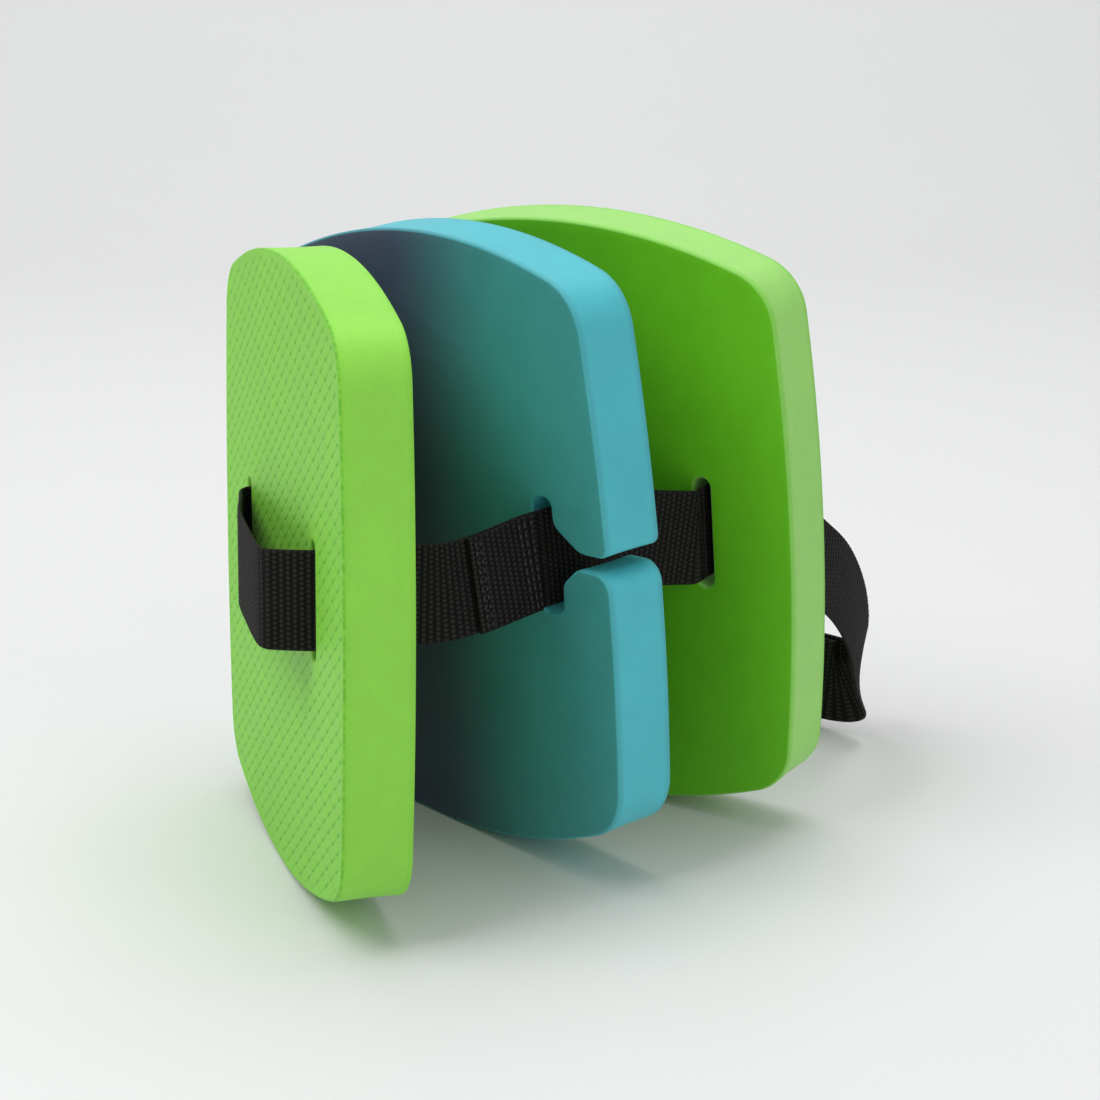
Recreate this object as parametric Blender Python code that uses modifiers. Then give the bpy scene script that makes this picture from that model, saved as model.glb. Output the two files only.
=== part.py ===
"""Three-part swim back float: three foam slabs threaded on one webbing belt with a side-release buckle.

Units are metres, +Z is up, and the slabs stand on the floor at Z = 0. The slabs are fanned open like a
book: the far ends are close together and the near ends, towards -Y, are apart. Each slab has its own
frame: U across its width, N out of its back face and W up its height. The belt runs through two slots
in each slab, crosses the front slab's outer face and closes in a loop behind the rear slab.
"""
import math

import bmesh
import bpy
from mathutils import Matrix, Vector

# Slabs
SLAB_HEIGHT = 0.244
SLAB_WIDTH = 0.208
SLAB_THICKNESS = 0.0265
SIDE_BOW = 0.0087          # how far the side arc stands out beyond its ends
END_BOW = 0.0225           # the same for the top and bottom arcs
CORNER_RADIUS = 0.0235
FACE = SLAB_THICKNESS / 2
FRONT_SIZE = 0.984         # the front slab is cut slightly smaller than the other two

# Where each slab stands: centre X, centre Y, turn, lean and roll in degrees
FRONT_POSE = (-0.0908, 0.9994, -72.1, -1.26, -2.17)
MIDDLE_POSE = (-0.0353, 1.0423, -49.8, 3.0, -4.2)
REAR_POSE = (0.0153, 1.0800, -34.2, 4.6, -1.0)
ORIGIN = Vector((0.0030, 1.0650, 0.0))   # under the middle of the whole object

# Slots
SLOT_LENGTH = 0.0455
SLOT_WIDTH = 0.0074
FRONT_SLOT_U = 0.0560
MIDDLE_SLOT_U = 0.0670
REAR_SLOT_U = 0.0640
THROAT = 0.0062            # height of the keyhole's side entry
KEYHOLE_RISE = 0.0015      # the keyholes sit this far above the slab's middle

# Webbing
WEB_WIDTH = 0.038
WEB_THICKNESS = 0.0018
JOIN_GAP = 0.0003
NEAR_LEAD = 0.026          # straight stretch of the near strap behind the front slab
LAP_STEPS = 8
GAP_STEPS = 6
LEAD = 0.007               # the same stretch at the other slots
LAP_SHARES = (0.50, 0.94)  # the sewn second layer's ends along the strap between the slabs

# Buckle, in its own frame: X along the belt, Y through its thickness and Z across its width
BUCKLE_N = 0.113           # how far behind the rear slab's middle the buckle stands
BUCKLE_WIDTH = 0.050
BUCKLE_THICKNESS = 0.0115
SHELL_LENGTH = 0.035
FRAME_LENGTH = 0.011
FRAME_THICKNESS = 0.0052
BAR = 0.0040
WALL = 0.0024
SHELL_ROUNDING = 0.0014
FRAME_ROUNDING = 0.0010
SLOT_PLAY = 0.0012         # the bars' slots reach this far past the belt's edges
LADDER_SLOT = 0.0044       # opening between the male body's bars
PRONG_THICKNESS = 0.0056
WEB_PLAY = 0.0006          # room between the belt and what it lies on
WEB_BED = FRAME_THICKNESS / 2 + WEB_THICKNESS / 2 + WEB_PLAY   # the belt's middle, beside a frame
WEB_OVER = WEB_BED + WEB_THICKNESS + WEB_PLAY                  # the free end's middle, on the belt
MALE_BASE = 0.0240
MALE_GAP = 0.0010
ADJUSTER_END = -0.0780     # where the straight stretch beside the buckle ends
KEEPER_X = -0.0560
KEEPER_LENGTH = 0.0080
KEEPER_WALL = 0.0012
KEEPER_SLACK = 0.0004
CURVE_STEPS = 6

GREEN = (0.30, 0.70, 0.08, 1.0)
BLUE = (0.07, 0.46, 0.60, 1.0)
BLACK = (0.012, 0.012, 0.013, 1.0)


def collection(name):
    group = bpy.data.collections.new(name)
    bpy.context.scene.collection.children.link(group)
    return group


def material(name, colour, roughness):
    result = bpy.data.materials.new(name)
    result.use_nodes = True
    shader = result.node_tree.nodes["Principled BSDF"]
    shader.inputs["Base Color"].default_value = colour
    shader.inputs["Roughness"].default_value = roughness
    shader.inputs["Metallic"].default_value = 0.0
    result.diffuse_color = colour
    return result


# ---------------------------------------------------------------- outlines

def arc(centre, radius, start, end, steps):
    """Points along an arc, both ends included."""
    angles = [start + (end - start) * i / steps for i in range(steps + 1)]
    return [Vector((centre[0] + radius * math.cos(a), centre[1] + radius * math.sin(a))) for a in angles]


def quarter_outline():
    """The slab's outline from the middle of its +U side up to the middle of its top."""
    half_width = SLAB_WIDTH / 2
    half_height = SLAB_HEIGHT / 2
    side_radius = (half_height ** 2 + SIDE_BOW ** 2) / (2 * SIDE_BOW)
    top_radius = (half_width ** 2 + END_BOW ** 2) / (2 * END_BOW)
    side = Vector((half_width - side_radius, 0.0))
    top = Vector((0.0, half_height - top_radius))
    # the corner's circle touches both arcs from inside
    to_side = side_radius - CORNER_RADIUS
    to_top = top_radius - CORNER_RADIUS
    span = top - side
    along = (span.length_squared + to_side ** 2 - to_top ** 2) / (2 * span.length)
    away = math.sqrt(to_side ** 2 - along ** 2)
    unit = span.normalized()
    corner = side + unit * along + Vector((-unit.y, unit.x)) * away
    side_angle = math.atan2(corner.y - side.y, corner.x - side.x)
    top_angle = math.atan2(corner.y - top.y, corner.x - top.x)
    points = arc(side, side_radius, 0.0, side_angle, 6)
    points += arc(corner, CORNER_RADIUS, side_angle, top_angle, 7)[1:]
    points += arc(top, top_radius, top_angle, math.pi / 2, 8)[1:]
    return points


def slab_outline():
    quarter = quarter_outline()
    half = quarter + [Vector((-p.x, p.y)) for p in reversed(quarter[:-1])]
    return half + [Vector((p.x, -p.y)) for p in reversed(half[1:-1])]


def slot_outline(centre_u):
    """A slot with round ends."""
    radius = SLOT_WIDTH / 2
    reach = SLOT_LENGTH / 2 - radius
    upper = arc((centre_u, reach), radius, 0.0, math.pi, CURVE_STEPS)
    lower = arc((centre_u, -reach), radius, math.pi, 2 * math.pi, CURVE_STEPS)
    return upper + lower


def fillet(before, corner, after, radius):
    """The arc that rounds one corner of a polygon."""
    back = (before - corner).normalized()
    ahead = (after - corner).normalized()
    half = back.angle(ahead) / 2
    middle = (back + ahead).normalized()
    centre = corner + middle * (radius / math.sin(half))
    start = corner + back * (radius / math.tan(half)) - centre
    end = corner + ahead * (radius / math.tan(half)) - centre
    first = math.atan2(start.y, start.x)
    turn = (math.atan2(end.y, end.x) - first + math.pi) % (2 * math.pi) - math.pi
    return arc(centre, radius, first, first + turn, CURVE_STEPS)


def keyhole(edge_u):
    """The +U keyhole's edge, from its mouth's upper lip round the slot to the lower lip."""
    half = SLOT_LENGTH / 2
    inner = MIDDLE_SLOT_U - 0.004
    outer = MIDDLE_SLOT_U + 0.007
    lip = THROAT / 2
    corners = [
        (edge_u, 0.030, 0.0),
        (edge_u, lip, 0.0045),
        (outer + 0.0140, lip, 0.0120),
        (outer, 0.0120, 0.0060),
        (outer, half, 0.0045),
        (inner, half, 0.0045),
        (inner, -half, 0.0045),
        (outer + 0.0020, -half, 0.0045),
        (outer + 0.0030, -0.0100, 0.0050),
        (outer + 0.0120, -lip, 0.0070),
        (edge_u, -lip, 0.0080),
        (edge_u, -0.030, 0.0),
    ]
    points = []
    for before, here, after in zip(corners, corners[1:], corners[2:]):
        points += fillet(Vector(before[:2]), Vector(here[:2]), Vector(after[:2]), here[2])
    return [p + Vector((0.0, KEYHOLE_RISE)) for p in points]


def keyhole_slab_outline():
    """The slab's outline with a keyhole cut in from each side."""
    quarter = quarter_outline()
    mouth = keyhole(SLAB_WIDTH / 2)
    above = [p for p in quarter if p.y > mouth[0].y + 0.004]
    below = [Vector((p.x, -p.y)) for p in quarter if p.y > -mouth[-1].y + 0.004]
    right = list(reversed(above)) + mouth + below
    left = [Vector((-p.x, p.y)) for p in reversed(right)]
    return right + left[1:-1]


# ---------------------------------------------------------------- solids

def link(group, name, mesh, finish):
    thing = bpy.data.objects.new(name, mesh)
    group.objects.link(thing)
    mesh.materials.clear()
    mesh.materials.append(finish)
    return thing


def plate(group, name, outline, thickness, finish, place):
    """A flat outline extruded to a plate and stood up by place."""
    curve = bpy.data.curves.new(name, "CURVE")
    curve.dimensions = "2D"
    curve.fill_mode = "BOTH"
    curve.extrude = thickness / 2
    spline = curve.splines.new("POLY")
    spline.points.add(len(outline) - 1)
    for point, at in zip(spline.points, outline):
        point.co = (at.x, at.y, 0.0, 1.0)
    spline.use_cyclic_u = True
    drawn = bpy.data.objects.new(name, curve)
    group.objects.link(drawn)
    bpy.context.view_layer.update()
    mesh = bpy.data.meshes.new_from_object(drawn.evaluated_get(bpy.context.evaluated_depsgraph_get()))
    bpy.data.objects.remove(drawn)
    bpy.data.curves.remove(curve)
    form = bmesh.new()
    form.from_mesh(mesh)
    bmesh.ops.remove_doubles(form, verts=form.verts, dist=0.00001)
    bmesh.ops.recalc_face_normals(form, faces=form.faces)
    form.to_mesh(mesh)
    form.free()
    thing = link(group, name, mesh, finish)
    thing.matrix_world = place
    return thing


STAND_UP = Matrix.Rotation(math.pi / 2, 4, "X")


class Slab:
    """One slab's place: it turns points in its own U, N, W frame into world points."""

    def __init__(self, pose, outline):
        x, y, turn, lean, roll = pose
        self.turn = (Matrix.Rotation(math.radians(turn), 4, "Z")
                     @ Matrix.Rotation(math.radians(lean), 4, "X")
                     @ Matrix.Rotation(math.radians(roll), 4, "Y"))
        rim = [self.turn @ Vector((p.x, side * FACE, p.y)) for p in outline for side in (-1, 1)]
        height = -min(p.z for p in rim)
        self.matrix = Matrix.Translation(Vector((x, y, height)) - ORIGIN) @ self.turn

    def at(self, u, n, w=0.0):
        return self.matrix @ Vector((u, n, w))

    def direction(self, u, n, w):
        return (self.turn @ Vector((u, n, w))).normalized()

    @property
    def up(self):
        return self.direction(0.0, 0.0, 1.0)


def smooth(stations, steps):
    """A smooth curve through stations, each a centre and an across direction, paced by their distances."""
    ends = [stations[0]] + stations + [stations[-1]]
    result = []
    for a, b, c, d in zip(ends, ends[1:], ends[2:], ends[3:]):
        length = (c[0] - b[0]).length
        early = length / (length + (b[0] - a[0]).length)
        late = length / (length + (d[0] - c[0]).length)
        for i in range(steps):
            t = i / steps
            mixed = []
            for kind in (0, 1):
                leave = (c[kind] - a[kind]) * early
                arrive = (d[kind] - b[kind]) * late
                mixed.append(b[kind] * (2 * t ** 3 - 3 * t ** 2 + 1) + leave * (t ** 3 - 2 * t ** 2 + t)
                             + c[kind] * (3 * t ** 2 - 2 * t ** 3) + arrive * (t ** 3 - t ** 2))
            result.append((mixed[0], mixed[1].normalized()))
    return result + [stations[-1]]


def webbing(group, name, stations, finish, steps=3, width=WEB_WIDTH, thickness=WEB_THICKNESS):
    """A flat strap: a rectangle lofted along the stations."""
    path = smooth(stations, steps)
    form = bmesh.new()
    rings = []
    for i, (centre, across) in enumerate(path):
        ahead = path[min(i + 1, len(path) - 1)][0] - path[max(i - 1, 0)][0]
        ahead.normalize()
        across = (across - ahead * across.dot(ahead)).normalized()
        out = ahead.cross(across)
        corners = ((1, 1), (1, -1), (-1, -1), (-1, 1))
        rings.append([
            form.verts.new(centre + across * (a * width / 2) + out * (b * thickness / 2)) for a, b in corners
        ])
    for ring, following in zip(rings, rings[1:]):
        for i in range(4):
            j = (i + 1) % 4
            form.faces.new((ring[i], ring[j], following[j], following[i]))
    form.faces.new(rings[0])
    form.faces.new(list(reversed(rings[-1])))
    bmesh.ops.triangulate(form, faces=form.faces)
    bmesh.ops.recalc_face_normals(form, faces=form.faces)
    mesh = bpy.data.meshes.new(name)
    form.to_mesh(mesh)
    form.free()
    return link(group, name, mesh, finish)


def block(group, name, low, high, finish, place):
    """A box between two corners, in the frame of place."""
    form = bmesh.new()
    bmesh.ops.create_cube(form, size=1.0)
    size = Vector(high) - Vector(low)
    middle = (Vector(high) + Vector(low)) / 2
    bmesh.ops.scale(form, vec=size, verts=form.verts)
    bmesh.ops.translate(form, vec=middle, verts=form.verts)
    mesh = bpy.data.meshes.new(name)
    form.to_mesh(mesh)
    form.free()
    thing = link(group, name, mesh, finish)
    thing.matrix_world = place
    return thing


def soften(thing, width):
    bevel = thing.modifiers.new("soft edges", "BEVEL")
    bevel.width = width
    bevel.segments = 2
    bevel.limit_method = "ANGLE"
    return thing


def combine(thing, other, operation):
    step = thing.modifiers.new(operation.lower(), "BOOLEAN")
    step.operation = operation
    step.object = other
    other.hide_render = True
    other.display_type = "WIRE"


# ---------------------------------------------------------------- belt

def through_slot(slab, slot_u):
    """Stations straight through a slab's slot, front face to back face."""
    inset = FACE - JOIN_GAP / 2
    return [(slab.at(slot_u, -inset), slab.up), (slab.at(slot_u, inset), slab.up)]


def between(first, first_u, second, second_u, lead=LEAD):
    """Stations from the back of one slab's slot to the front of the next slab's slot.

    The strap leaves the first slab straight for the length of lead before it bends."""
    clear = FACE + JOIN_GAP / 2
    start = first.at(first_u, clear)
    end = second.at(second_u, -clear)
    leaving = first.direction(0, 1, 0)
    arriving = second.direction(0, 1, 0)
    out = [(start + leaving * way, first.up) for way in (0.0, 0.0015, lead)]
    back = [(end - arriving * way, second.up) for way in (0.006, 0.0015, 0.0)]
    return out + back


def layer_on(stations, first_share, last_share):
    """Stations of a second layer that lies on the near side of part of a strap."""
    path = smooth(stations, LAP_STEPS)
    first = round(first_share * (len(path) - 1))
    last = round(last_share * (len(path) - 1))
    result = []
    for i in range(first, last + 1):
        centre, across = path[i]
        ahead = path[min(i + 1, len(path) - 1)][0] - path[max(i - 1, 0)][0]
        out = ahead.cross(across).normalized()
        result.append((centre + out * (WEB_THICKNESS + 2 * JOIN_GAP), across))
    return result


def bridge_stations(front):
    """From the far slot's mouth over the front slab's outer face and into the near slot."""
    inset = FACE - JOIN_GAP / 2
    slot = FRONT_SLOT_U
    route = [
        (-slot, inset), (-slot, 0.004), (-slot, -FACE + 0.002), (-slot + 0.0005, -FACE - 0.0010),
        (-0.0515, -FACE - 0.0040), (-0.040, -FACE - 0.0066), (-0.015, -FACE - 0.0122),
        (0.012, -FACE - 0.0150), (0.034, -FACE - 0.0168), (0.0450, -FACE - 0.0170),
        (0.0487, -FACE - 0.0155), (0.0508, -FACE - 0.0120), (0.0540, -FACE - 0.0050),
        (slot, -FACE + 0.002), (slot, 0.004), (slot, inset),
    ]
    return [(front.at(u, n), front.up) for u, n in route]


class Buckle:
    """The buckle's frame: X along the belt towards the near side, Y towards the slab, Z up."""

    def __init__(self, rear):
        turn = Matrix.Rotation(math.radians(REAR_POSE[2]), 4, "Z")
        foot = Vector((REAR_POSE[0], REAR_POSE[1], 0.0)) - ORIGIN
        place = foot + turn @ Vector((0.0, BUCKLE_N, BUCKLE_WIDTH / 2))
        self.matrix = Matrix.Translation(place) @ turn
        self.turn = turn

    def at(self, x, y, z=0.0):
        return self.matrix @ Vector((x, y, z))

    def across(self, lean=0.0, inward=0.0):
        return (self.turn @ Vector((inward, lean, 1.0))).normalized()


def near_loop_stations(rear, buckle):
    """Through the rear slab's near slot, round behind it and sewn back on itself at the buckle."""
    inset = FACE - JOIN_GAP / 2
    up = rear.up
    slot = REAR_SLOT_U
    stations = [(rear.at(slot, reach), up) for reach in (-inset, 0.0, inset + 0.001, inset + 0.005)]
    # each row: U, N and height of the strap's middle, then how far its width leans back and inwards
    loose = [
        (0.0680, 0.0300, 0.1160, 0.22, -0.04), (0.0745, 0.0450, 0.1050, 0.60, -0.15),
        (0.0775, 0.0590, 0.0950, 0.84, -0.25), (0.0779, 0.0767, 0.0820, 1.07, -0.30),
        (0.0768, 0.0920, 0.0660, 1.30, -0.40), (0.0742, 0.1035, 0.0490, 1.25, -0.40),
        (0.0705, 0.1095, 0.0345, 0.70, -0.22),
    ]
    for x, n, height, back, inward in loose:
        stations.append((buckle.at(x, n - BUCKLE_N, height - BUCKLE_WIDTH / 2), buckle.across(back, inward)))
    bar = SHELL_LENGTH + FRAME_LENGTH
    side = WEB_BED
    slot_x = bar - BAR - 0.0024
    close = [
        (0.0620, -0.0012), (bar + 0.0035, -side + 0.0010), (bar - 0.0015, -side),
        (slot_x + 0.0006, -side + 0.0008), (slot_x, 0.0), (slot_x + 0.0006, side - 0.0008),
        (bar - 0.0015, side), (bar + 0.0035, side - 0.0010), (0.0620, 0.0012),
    ]
    for x, y in close:
        stations.append((buckle.at(x, y), buckle.across()))
    return stations


def far_loop_stations(rear, buckle):
    """From the straight stretch beside the buckle up to the rear slab's far slot."""
    clear = FACE + JOIN_GAP / 2
    stations = [(buckle.at(ADJUSTER_END - x, WEB_BED), buckle.across()) for x in (JOIN_GAP, 0.0020, 0.0038)]
    loose = [
        (-0.0890, 0.1140, 0.0275, 0.10), (-0.0950, 0.1060, 0.0370, 0.35), (-0.0965, 0.0940, 0.0560, 0.75),
        (-0.0930, 0.0760, 0.0820, 0.80), (-0.0810, 0.0520, 0.1100, 0.35), (-0.0700, 0.0300, 0.1200, 0.05),
    ]
    for x, n, height, lean in loose:
        stations.append((buckle.at(x, n - BUCKLE_N, height - BUCKLE_WIDTH / 2), buckle.across(lean)))
    stations += [(rear.at(-REAR_SLOT_U, clear + way), rear.up) for way in (0.0060, 0.0030, 0.0)]
    return stations


def adjuster_stations(buckle):
    """In from the far side, woven through the two bars and back out as the free end."""
    bed = WEB_BED
    over = WEB_OVER
    outer_slot = -MALE_GAP - MALE_BASE + BAR + LADDER_SLOT / 2
    inner_slot = outer_slot + LADDER_SLOT + BAR
    middle = (outer_slot + inner_slot) / 2
    route = [
        (ADJUSTER_END, bed), (-0.0500, bed), (outer_slot - 0.0060, bed), (outer_slot - 0.0016, bed - 0.0004),
        (outer_slot, 0.0), (outer_slot + 0.0014, -bed + 0.0006), (middle, -bed - 0.0002),
        (inner_slot - 0.0014, -bed + 0.0006), (inner_slot, 0.0), (inner_slot - 0.0008, bed - 0.0002),
        (middle, bed + 0.0006), (outer_slot, over - 0.0006), (outer_slot - 0.0040, over + 0.0002),
        (-0.0400, over), (-0.0560, over), (ADJUSTER_END + 0.0020, over),
    ]
    return [(buckle.at(x, y), buckle.across()) for x, y in route]


# ---------------------------------------------------------------- buckle

def female_body(group, cutters, finish, buckle):
    half = BUCKLE_WIDTH / 2
    thick = BUCKLE_THICKNESS / 2
    frame = FRAME_THICKNESS / 2
    end = SHELL_LENGTH + FRAME_LENGTH
    cavity = thick - WALL
    shell = block(group, "buckle_female", (0, -thick, -half), (SHELL_LENGTH, thick, half), finish, buckle.matrix)
    soften(shell, SHELL_ROUNDING)
    rim = block(cutters, "female_frame", (SHELL_LENGTH - 0.004, -frame, -half + 0.001),
                (end, frame, half - 0.001), finish, buckle.matrix)
    soften(rim, FRAME_ROUNDING)
    combine(shell, rim, "UNION")
    hollow = block(cutters, "female_hollow", (-0.002, -cavity, -half + 0.0035),
                   (SHELL_LENGTH - WALL, cavity, half - 0.0035), finish, buckle.matrix)
    combine(shell, hollow, "DIFFERENCE")
    for side, name in ((1, "upper"), (-1, "lower")):
        low, high = sorted((side * (half - 0.006), side * (half + 0.002)))
        window = block(cutters, name + "_window", (0.0080, -cavity, low), (0.0270, cavity, high),
                       finish, buckle.matrix)
        combine(shell, window, "DIFFERENCE")
    slot = block(cutters, "female_slot", (end - BAR - 0.0048, -thick, -WEB_WIDTH / 2 - SLOT_PLAY),
                 (end - BAR, thick, WEB_WIDTH / 2 + SLOT_PLAY), finish, buckle.matrix)
    combine(shell, slot, "DIFFERENCE")
    return shell


def male_body(group, cutters, finish, buckle):
    half = BUCKLE_WIDTH / 2
    frame = FRAME_THICKNESS / 2
    start = -MALE_GAP - MALE_BASE
    base = block(group, "buckle_male", (start, -frame, -half), (-MALE_GAP, frame, half), finish, buckle.matrix)
    soften(base, FRAME_ROUNDING)
    guide = block(cutters, "male_guide", (-MALE_GAP - 0.002, -frame + 0.0006, -0.0040),
                  (0.0280, frame - 0.0006, 0.0040), finish, buckle.matrix)
    soften(guide, FRAME_ROUNDING)
    combine(base, guide, "UNION")
    for step in (0, 1):
        low = start + BAR + step * (LADDER_SLOT + BAR)
        slot = block(cutters, "male_slot_%d" % step, (low, -0.010, -WEB_WIDTH / 2 - SLOT_PLAY),
                     (low + LADDER_SLOT, 0.010, WEB_WIDTH / 2 + SLOT_PLAY), finish, buckle.matrix)
        combine(base, slot, "DIFFERENCE")
    return base


def prong(group, name, side, finish, buckle):
    """A flexing arm with the pad and catch that sit in the female body's window."""
    corners = [
        (-MALE_GAP + JOIN_GAP, 0.0130), (0.0090, 0.0145), (0.0305, 0.0135), (0.0318, 0.0150),
        (0.0305, 0.0180), (0.0250, 0.0228), (0.0200, 0.0242), (0.0100, 0.0242), (0.0086, 0.0232),
        (0.0084, 0.0192), (0.0050, 0.0180), (-MALE_GAP + JOIN_GAP, 0.0180),
    ]
    outline = [Vector((x, side * z)) for x, z in corners]
    return plate(group, name, outline, PRONG_THICKNESS, finish, buckle.matrix @ STAND_UP)


def keeper(group, cutters, finish, buckle):
    """An elastic loop round the belt and its free end."""
    wall = KEEPER_WALL
    low = WEB_BED - WEB_THICKNESS / 2 - KEEPER_SLACK
    high = WEB_OVER + WEB_THICKNESS / 2 + KEEPER_SLACK + 0.0002
    side = WEB_WIDTH / 2 + KEEPER_SLACK
    inner = [Vector(p) for p in ((low, -side), (high, -side), (high, side), (low, side))]
    outer = [Vector((p.x + math.copysign(wall, p.x - (low + high) / 2), p.y + math.copysign(wall, p.y)))
             for p in inner]
    across_belt = Matrix(((0, 0, 1, KEEPER_X), (1, 0, 0, 0), (0, 1, 0, 0), (0, 0, 0, 1)))
    band = plate(group, "keeper", outer, KEEPER_LENGTH, finish, buckle.matrix @ across_belt)
    hole = plate(cutters, "keeper_hole", inner, 2 * KEEPER_LENGTH, finish, buckle.matrix @ across_belt)
    combine(band, hole, "DIFFERENCE")
    return band


# ---------------------------------------------------------------- assembly

def build():
    for thing in list(bpy.data.objects):
        bpy.data.objects.remove(thing)
    parts = collection("swim back float")
    cutters = collection("cutters")
    green = material("green foam", GREEN, 0.75)
    blue = material("blue foam", BLUE, 0.75)
    black = material("black webbing", BLACK, 0.85)
    plastic = material("black plastic", BLACK, 0.40)

    outline = slab_outline()
    front_outline = [p * FRONT_SIZE for p in outline]
    front = Slab(FRONT_POSE, front_outline)
    middle = Slab(MIDDLE_POSE, outline)
    rear = Slab(REAR_POSE, outline)
    for name, slab, edge, slot_u in (("front_float", front, front_outline, FRONT_SLOT_U),
                                     ("rear_float", rear, outline, REAR_SLOT_U)):
        place = slab.matrix @ STAND_UP
        body = plate(parts, name, edge, SLAB_THICKNESS, green, place)
        for side in (-1, 1):
            hole = slot_outline(side * slot_u)
            cutter = plate(cutters, "%s_slot_%d" % (name, side), hole, 2 * SLAB_THICKNESS, green, place)
            combine(body, cutter, "DIFFERENCE")
    plate(parts, "middle_float", keyhole_slab_outline(), SLAB_THICKNESS, blue, middle.matrix @ STAND_UP)

    webbing(parts, "bridge_webbing", bridge_stations(front), black)
    for name, side, lead in (("near", 1, NEAR_LEAD), ("far", -1, LEAD)):
        front_gap = between(front, side * FRONT_SLOT_U, middle, side * MIDDLE_SLOT_U, lead)
        rear_gap = between(middle, side * MIDDLE_SLOT_U, rear, side * REAR_SLOT_U)
        webbing(parts, name + "_webbing_front_gap", front_gap, black, steps=LAP_STEPS)
        webbing(parts, name + "_webbing_middle_slot", through_slot(middle, side * MIDDLE_SLOT_U), black)
        webbing(parts, name + "_webbing_rear_gap", rear_gap, black, steps=GAP_STEPS)
        if side > 0:
            webbing(parts, "webbing_lap", layer_on(front_gap, *LAP_SHARES), black, steps=1)
    webbing(parts, "far_webbing_rear_slot", through_slot(rear, -REAR_SLOT_U), black)

    buckle = Buckle(rear)
    webbing(parts, "waist_webbing_near", near_loop_stations(rear, buckle), black)
    webbing(parts, "waist_webbing_far", far_loop_stations(rear, buckle), black)
    webbing(parts, "adjuster_webbing", adjuster_stations(buckle), black)
    female_body(parts, cutters, plastic, buckle)
    male_body(parts, cutters, plastic, buckle)
    prong(parts, "prong_upper", 1, plastic, buckle)
    prong(parts, "prong_lower", -1, plastic, buckle)
    keeper(parts, cutters, black, buckle)


build()
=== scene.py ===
"""Swim back float: three foam slabs threaded on one ribbed webbing belt with a side-release buckle.

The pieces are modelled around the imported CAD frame, in metres with +Z up. Each slab has its own frame:
U across its width, N out of its back face and W up its height.
"""
import math

import bmesh
import bpy
import numpy as np
from mathutils import Matrix, Vector
from mathutils.geometry import delaunay_2d_cdt


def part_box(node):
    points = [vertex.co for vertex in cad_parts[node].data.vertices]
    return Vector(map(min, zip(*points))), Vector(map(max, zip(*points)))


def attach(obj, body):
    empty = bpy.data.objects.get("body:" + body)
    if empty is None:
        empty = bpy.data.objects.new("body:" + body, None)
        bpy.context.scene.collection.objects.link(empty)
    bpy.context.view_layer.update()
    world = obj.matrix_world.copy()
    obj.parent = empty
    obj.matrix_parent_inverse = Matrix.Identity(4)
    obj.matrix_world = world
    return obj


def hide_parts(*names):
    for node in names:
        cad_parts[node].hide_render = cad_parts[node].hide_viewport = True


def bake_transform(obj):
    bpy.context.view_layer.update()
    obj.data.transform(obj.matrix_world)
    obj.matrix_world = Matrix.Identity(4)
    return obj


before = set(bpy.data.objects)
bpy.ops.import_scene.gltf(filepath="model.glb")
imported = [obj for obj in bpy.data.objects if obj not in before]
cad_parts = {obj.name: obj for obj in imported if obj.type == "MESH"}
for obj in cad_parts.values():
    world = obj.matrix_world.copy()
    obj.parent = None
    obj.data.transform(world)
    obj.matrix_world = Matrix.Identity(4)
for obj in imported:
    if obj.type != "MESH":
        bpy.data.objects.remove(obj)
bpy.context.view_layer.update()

# Slabs
SLAB_HEIGHT = 0.244
SLAB_WIDTH = 0.208
SLAB_THICKNESS = 0.0265
SIDE_BOW = 0.0087
END_BOW = 0.0225
CORNER_RADIUS = 0.0235
FACE = SLAB_THICKNESS / 2
EDGE_ROUND = 0.0011
EDGE_WAVES = (17, 29, 43)  # how often the unevenness of a cut wall repeats round its rim
WALL_WAVE = 0.00010
WALL_HOLLOW = 0.00016
WALL_STEPS = 12
FACE_FADE = 0.0035         # patterns and waves of a face fade out this close to a rim
FACE_WAVE = 0.00035
RIM_STEP = 0.0010
HOLE_STEP = 0.0008
FOAM_SEED = 10
WALL_SEED = 50             # added to a slab's seed for its walls
FRONT_SIZE = 0.984
FRONT_POSE = (-0.0908, 0.9994, -72.1, -1.26, -2.17)
MIDDLE_POSE = (-0.0353, 1.0423, -49.8, 3.0, -4.2)
REAR_POSE = (0.0153, 1.0800, -34.2, 4.6, -1.0)
ORIGIN = Vector((0.0030, 1.0650, 0.0))

# Slots
SLOT_LENGTH = 0.0455
SLOT_WIDTH = 0.0074
FRONT_SLOT_U = 0.0560
MIDDLE_SLOT_U = 0.0670
REAR_SLOT_U = 0.0640
THROAT = 0.0062
KEYHOLE_RISE = 0.0015

# Embossed scales on the outer faces
SCALE_RISING = (0.0093, 0.0064)    # spacing along U and W of the two families of pressed lines
SCALE_FALLING = (0.0277, 0.0076)
SCALE_LINE = 0.00065
SCALE_DEPTH = 0.00042
KNOT_WIDTH = 1.35                  # the lines' crossings, compared with a single line
RIM_SHADE = 0.60                    # how dark painted shade makes the rim of an embossed face
RIM_SHADE_FROM = 0.935              # share of the half thickness where that painted shade begins
PLAIN_GRID = (0.0030, 0.0030)      # mesh steps along U and W on a plain and on an embossed face
FINE_GRID = (0.0008, 0.00036)
GRID_MARGIN = (0.012, 0.004)       # how far that mesh is laid past the slab before it is trimmed

# The skin of a front side is painted darker towards the fan's spine, as shade, from here along U over this
# distance
PAINTED_SHADE_FROM = 0.058
PAINTED_SHADE_REACH = 0.075

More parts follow.
